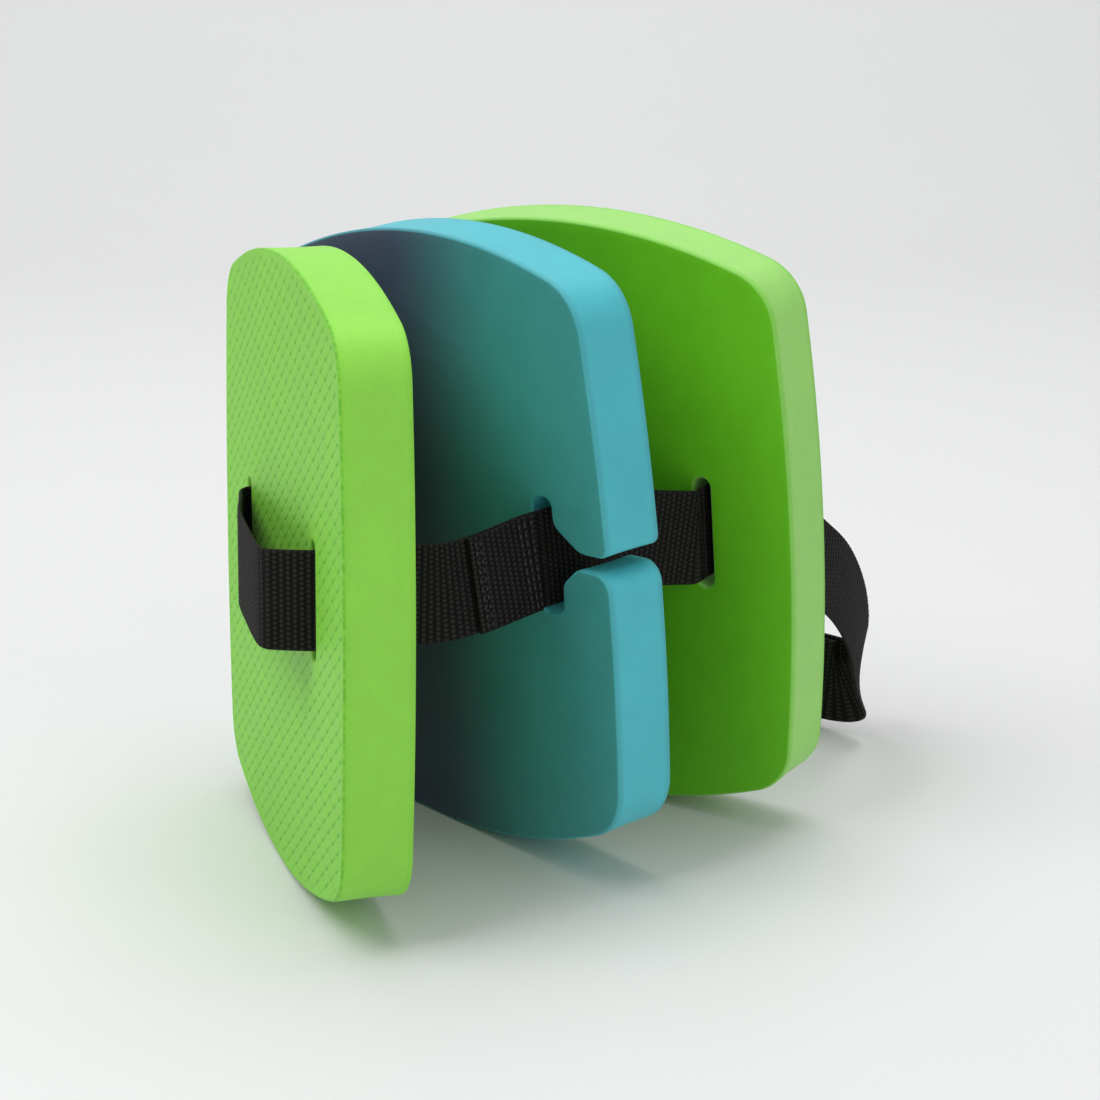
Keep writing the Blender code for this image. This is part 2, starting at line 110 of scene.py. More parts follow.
# Webbing
WEB_WIDTH = 0.038
WEB_THICKNESS = 0.0018
JOIN_GAP = 0.0003
NEAR_LEAD = 0.026          # straight stretch of the near strap behind the front slab
LEAD = 0.007               # the same stretch at the other slots
LAP_STEPS = 8
GAP_STEPS = 6
LAP_SHARES = (0.50, 0.94)  # the sewn second layer's ends along the strap between the slabs
RIB_PITCH = 0.0025
KNOT_PITCH = 0.0019
RIB_HEIGHT = 0.00036
SELVEDGE = 0.0014
EDGE_SOFTNESS = 0.0009
BELT_STEP = RIB_PITCH / 6
ROUTE_STEPS = 3            # points laid between two stations of a strap's route

# Sewing: a seam's place is a share of its strap's length
THREAD_RADIUS = 0.00028
THREAD_SPANS = 6
THREAD_SIDES = 8
STITCH_PITCH = 0.0017
STITCH_MARGIN = 0.0022
LAP_SEAMS = (0.08, 0.16, 0.78, 0.86, 0.94)
LOOP_SEAMS = (0.972, 0.982)
HEM_SEAMS = (0.900, 0.975)

# Buckle
BUCKLE_N = 0.113
BUCKLE_WIDTH = 0.050
SHELL_LENGTH = 0.035
FRAME_LENGTH = 0.011
FRAME_THICKNESS = 0.0052
BAR = 0.0040
MALE_BASE = 0.0240
MALE_GAP = 0.0010
ADJUSTER_END = -0.0780
KEEPER_X = -0.0560
KEEPER_LENGTH = 0.0080
KEEPER_WALL = 0.0012
KEEPER_SLACK = 0.0004
KEEPER_TURN = 0.0011
LADDER_SLOT = 0.0044
WEB_PLAY = 0.0006
WEB_BED = FRAME_THICKNESS / 2 + WEB_THICKNESS / 2 + WEB_PLAY   # the belt's middle, beside a frame
WEB_OVER = WEB_BED + WEB_THICKNESS + WEB_PLAY                  # the free end's middle, on the belt
CURVE_STEPS = 12


# ---------------------------------------------------------------- materials

def principled(name, colour, roughness):
    """A new material, its node tree and its shader."""
    result = bpy.data.materials.new(name)
    result.use_nodes = True
    tree = result.node_tree
    shader = tree.nodes["Principled BSDF"]
    shader.inputs["Base Color"].default_value = colour + (1.0,)
    shader.inputs["Roughness"].default_value = roughness
    result.diffuse_color = colour + (1.0,)
    return result, tree, shader


def add(tree, kind, **values):
    """A new node; each value sets the input of that name, or else the property."""
    node = tree.nodes.new(kind)
    for key, value in values.items():
        if key in node.inputs:
            node.inputs[key].default_value = value
        else:
            setattr(node, key, value)
    return node


def noise(tree, source, scale, detail=3.0, rough=0.5):
    node = add(tree, "ShaderNodeTexNoise", Scale=scale, Detail=detail, Roughness=rough)
    tree.links.new(source, node.inputs["Vector"])
    return node.outputs["Fac"]


def ramp(tree, source, stops):
    node = tree.nodes.new("ShaderNodeValToRGB")
    while len(node.color_ramp.elements) < len(stops):
        node.color_ramp.elements.new(0.5)
    for element, (place, colour) in zip(node.color_ramp.elements, stops):
        element.position = place
        element.color = tuple(colour) + (1.0,)
    tree.links.new(source, node.inputs["Fac"])
    return node.outputs["Color"]


def mixed(tree, factor, first, second, mode="MIX"):
    """A colour mix; each argument is a socket, a number or a colour."""
    node = tree.nodes.new("ShaderNodeMix")
    node.data_type = "RGBA"
    node.blend_type = mode
    for name, value in (("Factor", factor), ("A", first), ("B", second)):
        socket = [s for s in node.inputs if s.name == name and s.enabled][0]
        if isinstance(value, bpy.types.NodeSocket):
            tree.links.new(value, socket)
        elif isinstance(value, (int, float)):
            socket.default_value = value
        else:
            socket.default_value = tuple(value) + (1.0,)
    return [s for s in node.outputs if s.enabled][0]


def maths(tree, operation, *values):
    node = tree.nodes.new("ShaderNodeMath")
    node.operation = operation
    for socket, value in zip(node.inputs, values):
        if isinstance(value, bpy.types.NodeSocket):
            tree.links.new(value, socket)
        else:
            socket.default_value = value
    return node.outputs["Value"]


def bump(tree, shader, height, distance, strength=1.0):
    node = add(tree, "ShaderNodeBump", Strength=strength, Distance=distance)
    tree.links.new(height, node.inputs["Height"])
    tree.links.new(node.outputs["Normal"], shader.inputs["Normal"])


def shade(colour, factor):
    return tuple(min(1.0, c * factor) for c in colour)


def foam(name, skin, cut, groove, worn, deep):
    """Closed-cell foam: skin on the faces, paler cut walls, pressed grooves darkened as painted shade, and
    fine pores.

    The mesh carries three values at each point: Wall, 1 on the cut walls, Press, 1 in a groove or on the
    embossed rim, where painted shade darkens the colour to groove, and Far, 1 on the front side towards
    the fan's spine, where painted shade turns the skin to the colour deep."""
    result, tree, shader = principled(name, skin, 0.62)
    where = tree.nodes.new("ShaderNodeTexCoord").outputs["Object"]
    wall = add(tree, "ShaderNodeAttribute", attribute_name="Wall").outputs["Fac"]
    press_and_shade = add(tree, "ShaderNodeAttribute", attribute_name="PressAndShade").outputs["Fac"]
    far = add(tree, "ShaderNodeAttribute", attribute_name="PaintedShade").outputs["Fac"]
    cloud = noise(tree, where, 11.0, 4.0, 0.55)
    blotch = noise(tree, where, 85.0, 3.0, 0.6)
    speck = noise(tree, where, 1700.0, 2.0, 0.6)
    # painted shade: on the front side towards the fan's spine the skin turns to its darker last colour
    base = mixed(tree, wall, mixed(tree, far, skin, deep), cut)
    fields = ((cloud, 0.30, 0.70, 0.91), (blotch, 0.35, 0.65, 0.955), (speck, 0.35, 0.62, 0.94))
    for field, low, high, dark in fields:
        patches = ramp(tree, field, ((low, (dark, dark, dark)), (high, (1.0, 1.0, 1.0))))
        base = mixed(tree, 1.0, base, patches, "MULTIPLY")
    # painted shade: the pressed lines and the embossed rim are darkened to the groove colour
    base = mixed(tree, press_and_shade, base, groove)
    scuff_field = noise(tree, where, 70.0, 5.0, 0.7)
    scuffs = maths(tree, "MULTIPLY", maths(tree, "GREATER_THAN", scuff_field, 0.72), 0.14)
    base = mixed(tree, scuffs, base, worn)
    tree.links.new(base, shader.inputs["Base Color"])
    pores = add(tree, "ShaderNodeTexVoronoi", Scale=2200.0)
    tree.links.new(where, pores.inputs["Vector"])
    rough = maths(tree, "ADD", maths(tree, "MULTIPLY", blotch, 0.22), 0.46)
    tree.links.new(rough, shader.inputs["Roughness"])
    height = maths(tree, "ADD", maths(tree, "MULTIPLY", pores.outputs["Distance"], 0.6), speck)
    bump(tree, shader, height, 0.00012, 0.40)
    shader.inputs["Specular IOR Level"].default_value = 0.42
    shader.inputs["Sheen Weight"].default_value = 0.05
    return result


def woven(name, colour, crown_highlight, pitch, knot):
    """Ribbed webbing. UV runs in metres along and across the belt; Rib is 1 on the crown of a rib.
    The crowns are painted lighter as highlight, and the hollows between ribs darker as shade.
    """
    result, tree, shader = principled(name, colour, 0.8)
    uv = tree.nodes.new("ShaderNodeUVMap")
    uv.uv_map = "belt"
    crown = add(tree, "ShaderNodeAttribute", attribute_name="Rib").outputs["Fac"]
    split = tree.nodes.new("ShaderNodeSeparateXYZ")
    tree.links.new(uv.outputs["UV"], split.inputs["Vector"])
    along, across = split.outputs["X"], split.outputs["Y"]
    fibre = maths(tree, "SINE", maths(tree, "MULTIPLY", across, 2 * math.pi / (knot / 5)))
    slant = maths(tree, "ADD", along, across)
    twist = maths(tree, "SINE", maths(tree, "MULTIPLY", slant, 2 * math.pi / (pitch / 4)))
    fuzz = noise(tree, uv.outputs["UV"], 900.0, 3.0, 0.6)
    cloud = noise(tree, uv.outputs["UV"], 35.0, 3.0, 0.6)
    # painted highlight on the rib crowns and painted shade, half the base colour, in the hollows between
    # them
    base = mixed(tree, maths(tree, "POWER", crown, 2.6), shade(colour, 0.5), crown_highlight)
    for field, dark in ((fuzz, 0.62), (cloud, 0.82)):
        patches = ramp(tree, field, ((0.3, (dark, dark, dark)), (0.7, (1.0, 1.0, 1.0))))
        base = mixed(tree, 1.0, base, patches, "MULTIPLY")
    tree.links.new(base, shader.inputs["Base Color"])
    rough = maths(tree, "ADD", maths(tree, "MULTIPLY", fuzz, 0.25), 0.55)
    tree.links.new(rough, shader.inputs["Roughness"])
    height = maths(tree, "ADD", maths(tree, "MULTIPLY", fibre, 0.35), maths(tree, "MULTIPLY", twist, 0.45))
    height = maths(tree, "ADD", height, maths(tree, "MULTIPLY", fuzz, 0.8))
    bump(tree, shader, height, 0.00009, 0.6)
    shader.inputs["Specular IOR Level"].default_value = 0.13
    return result


def moulded(name, colour):
    """Fine-textured moulded plastic with faint flow marks and rubbed edges."""
    result, tree, shader = principled(name, colour, 0.42)
    where = tree.nodes.new("ShaderNodeTexCoord").outputs["Object"]
    cloud = noise(tree, where, 60.0, 4.0, 0.6)
    grit = noise(tree, where, 2600.0, 2.0, 0.5)
    base = mixed(tree, cloud, shade(colour, 0.8), shade(colour, 1.5))
    edges = tree.nodes.new("ShaderNodeNewGeometry").outputs["Pointiness"]
    rubbed = ramp(tree, edges, ((0.53, (0, 0, 0)), (0.62, (1, 1, 1))))
    base = mixed(tree, maths(tree, "MULTIPLY", rubbed, 0.35), base, (0.09, 0.09, 0.09))
    tree.links.new(base, shader.inputs["Base Color"])
    rough = maths(tree, "ADD", maths(tree, "MULTIPLY", cloud, 0.20), 0.30)
    tree.links.new(rough, shader.inputs["Roughness"])
    bump(tree, shader, grit, 0.00004, 0.5)
    return result


def thread(name, colour):
    result, tree, shader = principled(name, colour, 0.6)
    where = tree.nodes.new("ShaderNodeTexCoord").outputs["Object"]
    strands = noise(tree, where, 3500.0, 2.0, 0.6)
    base = mixed(tree, strands, shade(colour, 0.5), shade(colour, 1.7))
    tree.links.new(base, shader.inputs["Base Color"])
    rough = maths(tree, "ADD", maths(tree, "MULTIPLY", strands, 0.3), 0.40)
    tree.links.new(rough, shader.inputs["Roughness"])
    bump(tree, shader, strands, 0.00005, 0.8)
    shader.inputs["Sheen Weight"].default_value = 0.3
    return result


# ---------------------------------------------------------------- outlines

def arc(centre, radius, start, end, steps):
    angles = [start + (end - start) * i / steps for i in range(steps + 1)]
    return [Vector((centre[0] + radius * math.cos(a), centre[1] + radius * math.sin(a))) for a in angles]


def quarter_outline():
    """The slab's outline from the middle of its +U side up to the middle of its top."""
    half_width = SLAB_WIDTH / 2
    half_height = SLAB_HEIGHT / 2
    side_radius = (half_height ** 2 + SIDE_BOW ** 2) / (2 * SIDE_BOW)
    top_radius = (half_width ** 2 + END_BOW ** 2) / (2 * END_BOW)
    side = Vector((half_width - side_radius, 0.0))
    top = Vector((0.0, half_height - top_radius))
    to_side = side_radius - CORNER_RADIUS
    to_top = top_radius - CORNER_RADIUS
    span = top - side
    along = (span.length_squared + to_side ** 2 - to_top ** 2) / (2 * span.length)
    away = math.sqrt(to_side ** 2 - along ** 2)
    unit = span.normalized()
    corner = side + unit * along + Vector((-unit.y, unit.x)) * away
    side_angle = math.atan2(corner.y - side.y, corner.x - side.x)
    top_angle = math.atan2(corner.y - top.y, corner.x - top.x)
    points = arc(side, side_radius, 0.0, side_angle, 60)
    points += arc(corner, CORNER_RADIUS, side_angle, top_angle, 30)[1:]
    points += arc(top, top_radius, top_angle, math.pi / 2, 60)[1:]
    return points


def slab_outline():
    quarter = quarter_outline()
    half = quarter + [Vector((-p.x, p.y)) for p in reversed(quarter[:-1])]
    return half + [Vector((p.x, -p.y)) for p in reversed(half[1:-1])]


def slot_outline(centre_u):
    radius = SLOT_WIDTH / 2
    reach = SLOT_LENGTH / 2 - radius
    upper = arc((centre_u, reach), radius, 0.0, math.pi, CURVE_STEPS)
    lower = arc((centre_u, -reach), radius, math.pi, 2 * math.pi, CURVE_STEPS)
    return upper + lower


def fillet(before, corner, after, radius):
    """The arc that rounds one corner of a polygon."""
    back = (before - corner).normalized()
    ahead = (after - corner).normalized()
    half = back.angle(ahead) / 2
    middle = (back + ahead).normalized()
    centre = corner + middle * (radius / math.sin(half))
    start = corner + back * (radius / math.tan(half)) - centre
    end = corner + ahead * (radius / math.tan(half)) - centre
    first = math.atan2(start.y, start.x)
    turn = (math.atan2(end.y, end.x) - first + math.pi) % (2 * math.pi) - math.pi
    return arc(centre, radius, first, first + turn, CURVE_STEPS)


def keyhole(edge_u):
    """The +U keyhole's edge, from its mouth's upper lip round the slot to the lower lip."""
    half = SLOT_LENGTH / 2
    inner = MIDDLE_SLOT_U - 0.004
    outer = MIDDLE_SLOT_U + 0.007
    lip = THROAT / 2
    # each corner: U, W and the radius that rounds it
    corners = [
        (edge_u, 0.030, 0.0),
        (edge_u, lip, 0.0045),
        (outer + 0.0140, lip, 0.0120),
        (outer, 0.0120, 0.0060),
        (outer, half, 0.0045),
        (inner, half, 0.0045),
        (inner, -half, 0.0045),
        (outer + 0.0020, -half, 0.0045),
        (outer + 0.0030, -0.0100, 0.0050),
        (outer + 0.0120, -lip, 0.0070),
        (edge_u, -lip, 0.0080),
        (edge_u, -0.030, 0.0),
    ]
    points = []
    for before, here, after in zip(corners, corners[1:], corners[2:]):
        points += fillet(Vector(before[:2]), Vector(here[:2]), Vector(after[:2]), here[2])
    return [p + Vector((0.0, KEYHOLE_RISE)) for p in points]


def keyhole_slab_outline():
    quarter = quarter_outline()
    mouth = keyhole(SLAB_WIDTH / 2)
    above = [p for p in quarter if p.y > mouth[0].y + 0.004]
    below = [Vector((p.x, -p.y)) for p in quarter if p.y > -mouth[-1].y + 0.004]
    right = list(reversed(above)) + mouth + below
    left = [Vector((-p.x, p.y)) for p in reversed(right)]
    return right + left[1:-1]


def even(outline, spacing):
    """The closed outline again with evenly spaced points, anticlockwise, as an array."""
    ring = np.array([(p.x, p.y) for p in outline])
    keep = np.linalg.norm(ring - np.roll(ring, 1, axis=0), axis=1) > 1e-7
    ring = ring[keep]
    turned = np.sum(ring[:, 0] * np.roll(ring[:, 1], -1) - ring[:, 1] * np.roll(ring[:, 0], -1))
    if turned < 0:
        ring = ring[::-1]
    closed = np.vstack([ring, ring[:1]])
    travel = np.concatenate([[0.0], np.cumsum(np.linalg.norm(np.diff(closed, axis=0), axis=1))])
    count = int(round(travel[-1] / spacing))
    at = np.linspace(0.0, travel[-1], count, endpoint=False)
    return np.stack([np.interp(at, travel, closed[:, i]) for i in (0, 1)], axis=1)


def inward(ring, outer):
    """Unit vectors into the foam at each point: left of an anticlockwise rim, right of a hole's."""
    along = np.roll(ring, -1, axis=0) - np.roll(ring, 1, axis=0)
    along /= np.linalg.norm(along, axis=1)[:, None]
    left = np.stack([-along[:, 1], along[:, 0]], axis=1)
    return left if outer else -left


def depth_inside(points, rings):
    """Each point's distance to the nearest rim: positive in the foam, negative outside it."""
    result = np.empty(len(points))
    batch = 4000
    for first in range(0, len(points), batch):
        part = points[first:first + batch]
        best = np.full(len(part), 1e9)
        crossings = np.zeros(len(part), int)
        for ring in rings:
            a = ring
            b = np.roll(ring, -1, axis=0)
            ab = b - a
            to = part[:, None, :] - a[None]
            t = np.clip((to * ab[None]).sum(2) / (ab ** 2).sum(1)[None], 0.0, 1.0)
            gap = np.linalg.norm(to - t[..., None] * ab[None], axis=2)
            best = np.minimum(best, gap.min(1))
            spans = (a[None, :, 1] > part[:, None, 1]) != (b[None, :, 1] > part[:, None, 1])
            rise = np.where(ab[:, 1] == 0.0, 1e-12, ab[:, 1])
            reach = a[None, :, 0] + (part[:, None, 1] - a[None, :, 1]) * (ab[:, 0] / rise)[None]
            crossings += (spans & (part[:, None, 0] < reach)).sum(1)
        result[first:first + batch] = np.where(crossings % 2 == 1, best, -best)
    return result


# ---------------------------------------------------------------- slabs

class Slab:
    """One slab's place: it turns points in its own U, N, W frame into world points."""

    def __init__(self, pose, outline, node):
        turn, lean, roll = pose[2:]
        self.turn = (Matrix.Rotation(math.radians(turn), 4, "Z")
                     @ Matrix.Rotation(math.radians(lean), 4, "X")
                     @ Matrix.Rotation(math.radians(roll), 4, "Y"))
        rim = [self.turn @ Vector((p.x, side * FACE, p.y)) for p in outline for side in (-1, 1)]
        low = Vector([min(p[i] for p in rim) for i in range(3)])
        high = Vector([max(p[i] for p in rim) for i in range(3)])
        cad_low, cad_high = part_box(node)
        centre = (cad_low + cad_high) / 2 - (low + high) / 2
        self.matrix = Matrix.Translation(centre) @ self.turn

    def at(self, u, n, w=0.0):
        return self.matrix @ Vector((u, n, w))

    def direction(self, u, n, w):
        return (self.turn @ Vector((u, n, w))).normalized()

    @property
    def up(self):
        return self.direction(0.0, 0.0, 1.0)


def scales(points):
    """How deep the pressed lattice of slanted marks is at each face point, from 0 to 1."""
    rising = points[:, 1] / SCALE_RISING[1] - points[:, 0] / SCALE_RISING[0]
    falling = points[:, 1] / SCALE_FALLING[1] + points[:, 0] / SCALE_FALLING[0]

    def line(phase, width):
        away = np.abs(phase - np.round(phase)) * SCALE_RISING[1]
        return np.clip(1.2 - away / width, 0.0, 1.0)

    # a rising mark is deepest where a falling one crosses it, then fades up to the next crossing
    beyond = (falling - 0.06) % 1.0
    strength = 0.22 + 0.50 * np.clip(1.0 - beyond / 0.62, 0.0, 1.0)
    knot = line(rising, SCALE_LINE * KNOT_WIDTH) * line(falling, SCALE_LINE * KNOT_WIDTH)
    marks = np.maximum(line(rising, SCALE_LINE) * strength, 0.10 * line(falling, SCALE_LINE))
    return np.maximum(marks, knot)


def low_waves(points, seed, strength):
    """Gentle unevenness of the pressed foam, never proud of the face."""
    picker = np.random.default_rng(seed)
    result = np.zeros(len(points))
    for _ in range(7):
        angle = picker.uniform(0, math.pi)
        wave = picker.uniform(0.035, 0.09)
        phase = picker.uniform(0, 2 * math.pi)
        travel = points[:, 0] * math.cos(angle) + points[:, 1] * math.sin(angle)
        result += np.sin(travel * 2 * math.pi / wave + phase)
    return (result / 7 * 0.5 + 0.5) * strength


def face_sheet(insets, steps, depth_at):
    """A flat sheet of the face inside the inset rims: points, faces and the rims' first point number.

    A regular grid fills the middle, and triangles join the grid's ragged border to the rims."""
    du, dw = steps
    reach_u = SLAB_WIDTH / 2 + GRID_MARGIN[0]
    reach_w = SLAB_HEIGHT / 2 + GRID_MARGIN[1]
    us = np.arange(-reach_u, reach_u, du)
    ws = np.arange(-reach_w, reach_w, dw)
    grid = np.stack(np.meshgrid(us, ws, indexing="ij"), axis=-1)
    flat = grid.reshape(-1, 2)
    depth = depth_at(flat).reshape(len(us), len(ws))
    inside = depth > EDGE_ROUND + 0.55 * max(du, dw)
    full = inside[:-1, :-1] & inside[1:, :-1] & inside[:-1, 1:] & inside[1:, 1:]
    number = np.arange(len(flat)).reshape(len(us), len(ws))
    quads = np.stack([number[:-1, :-1], number[1:, :-1], number[1:, 1:], number[:-1, 1:]], axis=-1)
    quads = quads[full]
    cells = np.pad(full, 1)
    i, j = np.nonzero(cells[:-1, 1:-1] != cells[1:, 1:-1])
    border = [np.stack([number[i, j], number[i, j + 1]], axis=1)]
    i, j = np.nonzero(cells[1:-1, :-1] != cells[1:-1, 1:])
    border.append(np.stack([number[i, j], number[i + 1, j]], axis=1))
    border = np.vstack(border)
    used = np.unique(border)
    place = {int(n): k for k, n in enumerate(used)}
    verts = [Vector(p) for p in flat[used]]
    edges = [(place[int(a)], place[int(b)]) for a, b in border]
    for ring in insets:
        first = len(verts)
        verts += [Vector(p) for p in ring]
        edges += [(first + k, first + (k + 1) % len(ring)) for k in range(len(ring))]
    out, _, triangles, sources, _, _ = delaunay_2d_cdt(verts, edges, [], 0, 1e-9)
    back = np.full(len(out), -1)
    for k, source in enumerate(sources):
        if source:
            back[k] = source[0]
    corners = np.array([(p.x, p.y) for p in out])
    tri = np.array(triangles)
    middle = corners[tri].mean(1)
    inside_foam = depth_at(middle) > EDGE_ROUND * 0.9
    column = np.clip(((middle[:, 0] - us[0]) / du).astype(int), 0, full.shape[0] - 1)
    row = np.clip(((middle[:, 1] - ws[0]) / dw).astype(int), 0, full.shape[1] - 1)
    tri = back[tri[inside_foam & ~full[column, row]]]
    # one numbering: the sheet's grid points first, then the rims' points
    grid_used = np.unique(np.concatenate([quads.ravel(), used]))
    renumber = np.full(len(flat), -1)
    renumber[grid_used] = np.arange(len(grid_used))
    rims = np.vstack(insets)
    points = np.vstack([flat[grid_used], rims])
    lookup = np.concatenate([renumber[used], len(grid_used) + np.arange(len(rims))])
    faces = [tuple(q) for q in renumber[quads].tolist()] + [tuple(t) for t in lookup[tri].tolist()]
    return points, faces, len(grid_used)


def wall_profile():
    """A cut wall's section from the front face to the back: how far in from the rim, and N."""
    reach = FACE - EDGE_ROUND
    bend = [math.radians(a) for a in (67.5, 45.0, 22.5, 0.0)]
    rounded = [(EDGE_ROUND * (1 - math.cos(a)), reach + EDGE_ROUND * math.sin(a)) for a in bend]
    shares = [k / WALL_STEPS for k in range(1, WALL_STEPS)]
    hollow = [(WALL_HOLLOW * math.sin(math.pi * share), -reach + 2 * reach * share) for share in shares]
    return [(inset, -n) for inset, n in rounded] + hollow + rounded[::-1]


def foam_slab(name, slab, outline, holes, finish, embossed, seed):
    """A foam slab with rounded rims, cut walls and, on the embossed side, pressed scales."""
    rings = [even(outline, RIM_STEP)] + [even(hole, HOLE_STEP) for hole in holes]
    normals = [inward(ring, i == 0) for i, ring in enumerate(rings)]

    def depth_at(points):
        return depth_inside(points, rings)

    points, faces, walls, presses_and_shade = [], [], [], []
    offset = 0
    insets = [ring + normal * EDGE_ROUND for ring, normal in zip(rings, normals)]
    face_start = {}
    for side in (-1, 1):
        patterned = side == embossed
        grid = FINE_GRID if patterned else PLAIN_GRID
        sheet, sheet_faces, rim_at = face_sheet(insets, grid, depth_at)
        depth = np.clip(depth_at(sheet), 0.0, None)
        fade = np.clip((depth - EDGE_ROUND) / FACE_FADE, 0.0, 1.0)
        fade = fade * fade * (3 - 2 * fade)
        sunk = low_waves(sheet, seed + side, FACE_WAVE) * fade
        press_and_shade = np.zeros(len(sheet))
        # the pressed lines sink into the face, and the same values darken their colour as painted shade
        if patterned:
            press_and_shade = scales(sheet) * fade
            sunk = sunk + press_and_shade * SCALE_DEPTH
        n = side * (FACE - sunk)
        points.append(np.stack([sheet[:, 0], n, sheet[:, 1]], axis=1))
        order = 1 if side < 0 else -1
        faces += [tuple(offset + k for k in f[::order]) for f in sheet_faces]
        walls.append(np.zeros(len(sheet)))
        presses_and_shade.append(press_and_shade)
        face_start[side] = offset + rim_at
        offset += len(sheet)
    picker = np.random.default_rng(seed + WALL_SEED)
    profile = wall_profile()
    base = 0
    for ring, normal in zip(rings, normals):
        count = len(ring)
        outer = ring is rings[0]
        around = np.arange(count) / count
        waves = [np.sin(2 * math.pi * (around * cycles + picker.uniform())) for cycles in EDGE_WAVES]
        ripple = sum(waves) / len(waves)
        levels = []
        # painted shade along the rim of the embossed face, uneven round the rim
        uneven_rim_shade = np.clip(0.62 + 0.38 * picker.standard_normal(count), 0.25, 1.0)
        for inset, n in profile:
            level = n / FACE
            rim_shaded = outer and level * embossed > RIM_SHADE_FROM
            wave = WALL_WAVE * (1 + ripple) * (1 - level * level)
            spot = ring + normal * (inset + wave)[:, None]
            points.append(np.stack([spot[:, 0], np.full(count, n), spot[:, 1]], axis=1))
            walls.append(np.full(count, 1.0 if abs(level) < 0.90 else 0.55))
            presses_and_shade.append(uneven_rim_shade * (RIM_SHADE if rim_shaded else 0.0))
            levels.append(offset)
            offset += count
        strips = [face_start[-1] + base] + levels + [face_start[1] + base]
        for low, high in zip(strips, strips[1:]):
            for k in range(count):
                j = (k + 1) % count
                quad = (low + k, low + j, high + j, high + k)
                faces.append(quad[::-1] if outer else quad)
        base += count
    points = np.vstack(points)
    # painted shade: how far the front side's skin is darkened towards the fan's spine
    far = np.clip((PAINTED_SHADE_FROM - points[:, 0]) / PAINTED_SHADE_REACH, 0.0, 1.0) * (points[:, 1] < 0.0)
    far = far * far * (3 - 2 * far)
    values = {"Wall": np.concatenate(walls), "PressAndShade": np.concatenate(presses_and_shade), "PaintedShade": far}
    return solid(name, slab.matrix, points, faces, finish, values)


def solid(name, matrix, points, faces, finish, values):
    """A mesh object; each of the values is an attribute with one number at each point."""
    mesh = bpy.data.meshes.new(name)
    mesh.from_pydata([tuple(p) for p in points], [], faces)
    for key, value in values.items():
        attribute = mesh.attributes.new(key, "FLOAT", "POINT")
        attribute.data.foreach_set("value", np.asarray(value, np.float32))
    form = bmesh.new()
    form.from_mesh(mesh)
    bmesh.ops.recalc_face_normals(form, faces=form.faces)
    form.to_mesh(mesh)
    form.free()
    mesh.transform(matrix)
    mesh.materials.append(finish)
    mesh.shade_smooth()
    thing = bpy.data.objects.new(name, mesh)
    bpy.context.scene.collection.objects.link(thing)
    return thing


# ---------------------------------------------------------------- belt

def smooth(stations, steps):
    """A smooth curve through stations, each a centre and a direction across, paced by their distances."""
    ends = [stations[0]] + stations + [stations[-1]]
    result = []
    for a, b, c, d in zip(ends, ends[1:], ends[2:], ends[3:]):
        length = (c[0] - b[0]).length
        early = length / (length + (b[0] - a[0]).length)
        late = length / (length + (d[0] - c[0]).length)
        for i in range(steps):
            t = i / steps
            blended = []
            for kind in (0, 1):
                leave = (c[kind] - a[kind]) * early
                arrive = (d[kind] - b[kind]) * late
                blended.append(b[kind] * (2 * t ** 3 - 3 * t ** 2 + 1) + leave * (t ** 3 - 2 * t ** 2 + t)
                               + c[kind] * (3 * t ** 2 - 2 * t ** 3) + arrive * (t ** 3 - t ** 2))
            result.append((blended[0], blended[1].normalized()))
    return result + [stations[-1]]


def through_slot(slab, slot_u):
    inset = FACE - JOIN_GAP / 2
    return [(slab.at(slot_u, -inset), slab.up), (slab.at(slot_u, inset), slab.up)]


def between(first, first_u, second, second_u, lead=LEAD):
    """Stations from the back of one slab's slot to the front of the next slab's slot."""
    clear = FACE + JOIN_GAP / 2
    start = first.at(first_u, clear)
    end = second.at(second_u, -clear)
    leaving = first.direction(0, 1, 0)
    arriving = second.direction(0, 1, 0)
    out = [(start + leaving * way, first.up) for way in (0.0, 0.0015, lead)]
    back = [(end - arriving * way, second.up) for way in (0.006, 0.0015, 0.0)]
    return out + back


def bridge_stations(front):
    """From the far slot's mouth over the front slab's outer face and into the near slot."""
    inset = FACE - JOIN_GAP / 2
    slot = FRONT_SLOT_U
    route = [
        (-slot, inset), (-slot, 0.004), (-slot, -FACE + 0.002), (-slot + 0.0005, -FACE - 0.0010),
        (-0.0515, -FACE - 0.0040), (-0.040, -FACE - 0.0066), (-0.015, -FACE - 0.0122),
        (0.012, -FACE - 0.0150), (0.034, -FACE - 0.0168), (0.0450, -FACE - 0.0170),
        (0.0487, -FACE - 0.0155), (0.0508, -FACE - 0.0120), (0.0540, -FACE - 0.0050),
        (slot, -FACE + 0.002), (slot, 0.004), (slot, inset),
    ]
    return [(front.at(u, n), front.up) for u, n in route]


class Buckle:
    """The buckle's frame: X along the belt towards the near side, Y towards the slab, Z up."""

    def __init__(self):
        turn = Matrix.Rotation(math.radians(REAR_POSE[2]), 4, "Z")
        foot = Vector((REAR_POSE[0], REAR_POSE[1], 0.0)) - ORIGIN
        place = foot + turn @ Vector((0.0, BUCKLE_N, BUCKLE_WIDTH / 2))
        self.matrix = Matrix.Translation(place) @ turn
        self.turn = turn

    def at(self, x, y, z=0.0):
        return self.matrix @ Vector((x, y, z))

    def across(self, lean=0.0, inward=0.0):
        return (self.turn @ Vector((inward, lean, 1.0))).normalized()


